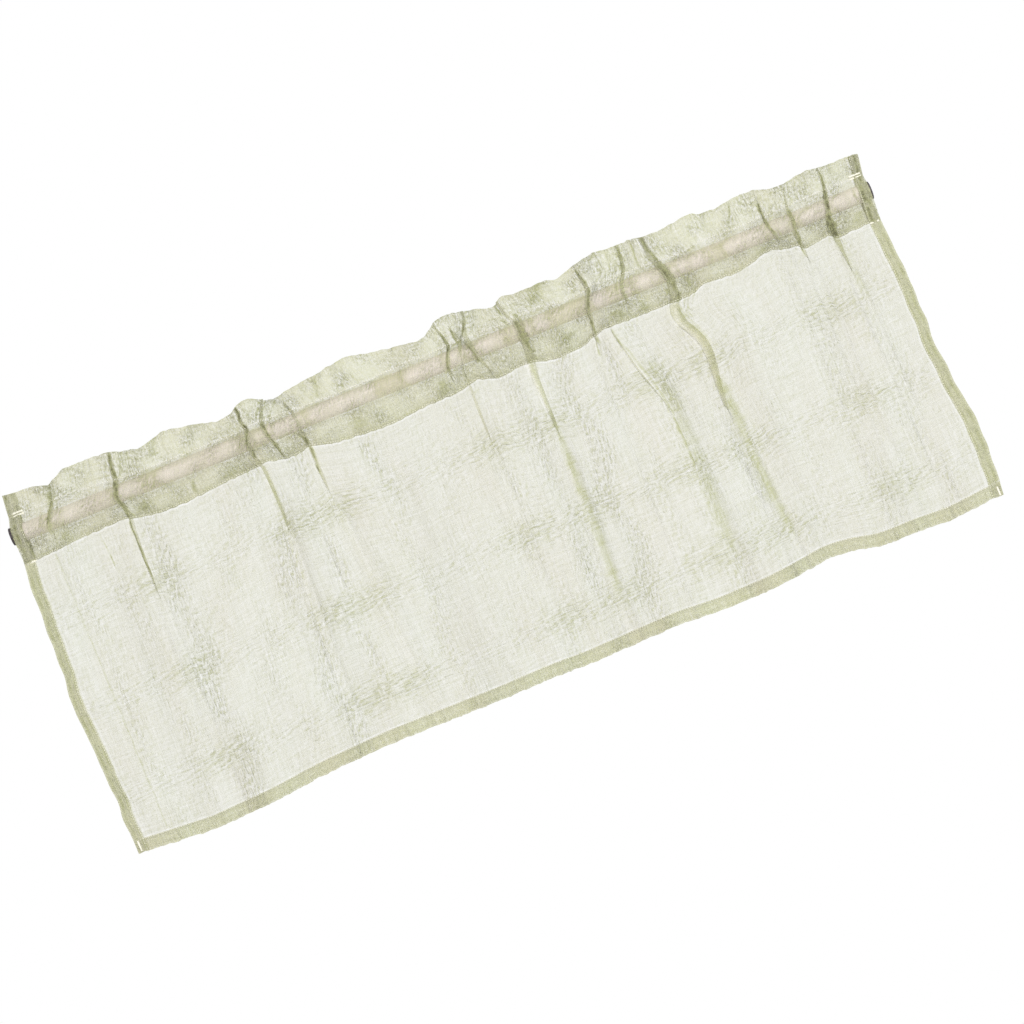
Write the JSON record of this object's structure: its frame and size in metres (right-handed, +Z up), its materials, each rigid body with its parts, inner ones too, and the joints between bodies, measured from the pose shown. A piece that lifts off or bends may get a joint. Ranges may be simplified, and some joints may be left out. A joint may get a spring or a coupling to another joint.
{
  "type": "cafe curtain on a rod",
  "caption": "Short sheer cafe curtain with a ruffled header and a rod pocket, lightly gathered on a plain round rod with end plugs.",
  "frame": {"origin": "middle of the rod's axis", "axes": "+X along the rod to the curtain's right as seen from its front, -Y out of the curtain's face, +Z up"},
  "size_m": [1.1239, 0.038, 0.4715],
  "materials": {
    "sheer_cloth": "sheer slubby linen-look voile, pale sage green",
    "rod_paint": "satin, warm beige",
    "end_plug": "matte, near black"
  },
  "bodies": {
    "root": {"curtain": "sheer_cloth", "rod": "rod_paint", "rod_cap_left": "end_plug", "rod_cap_right": "end_plug"}
  },
  "joints": []
}
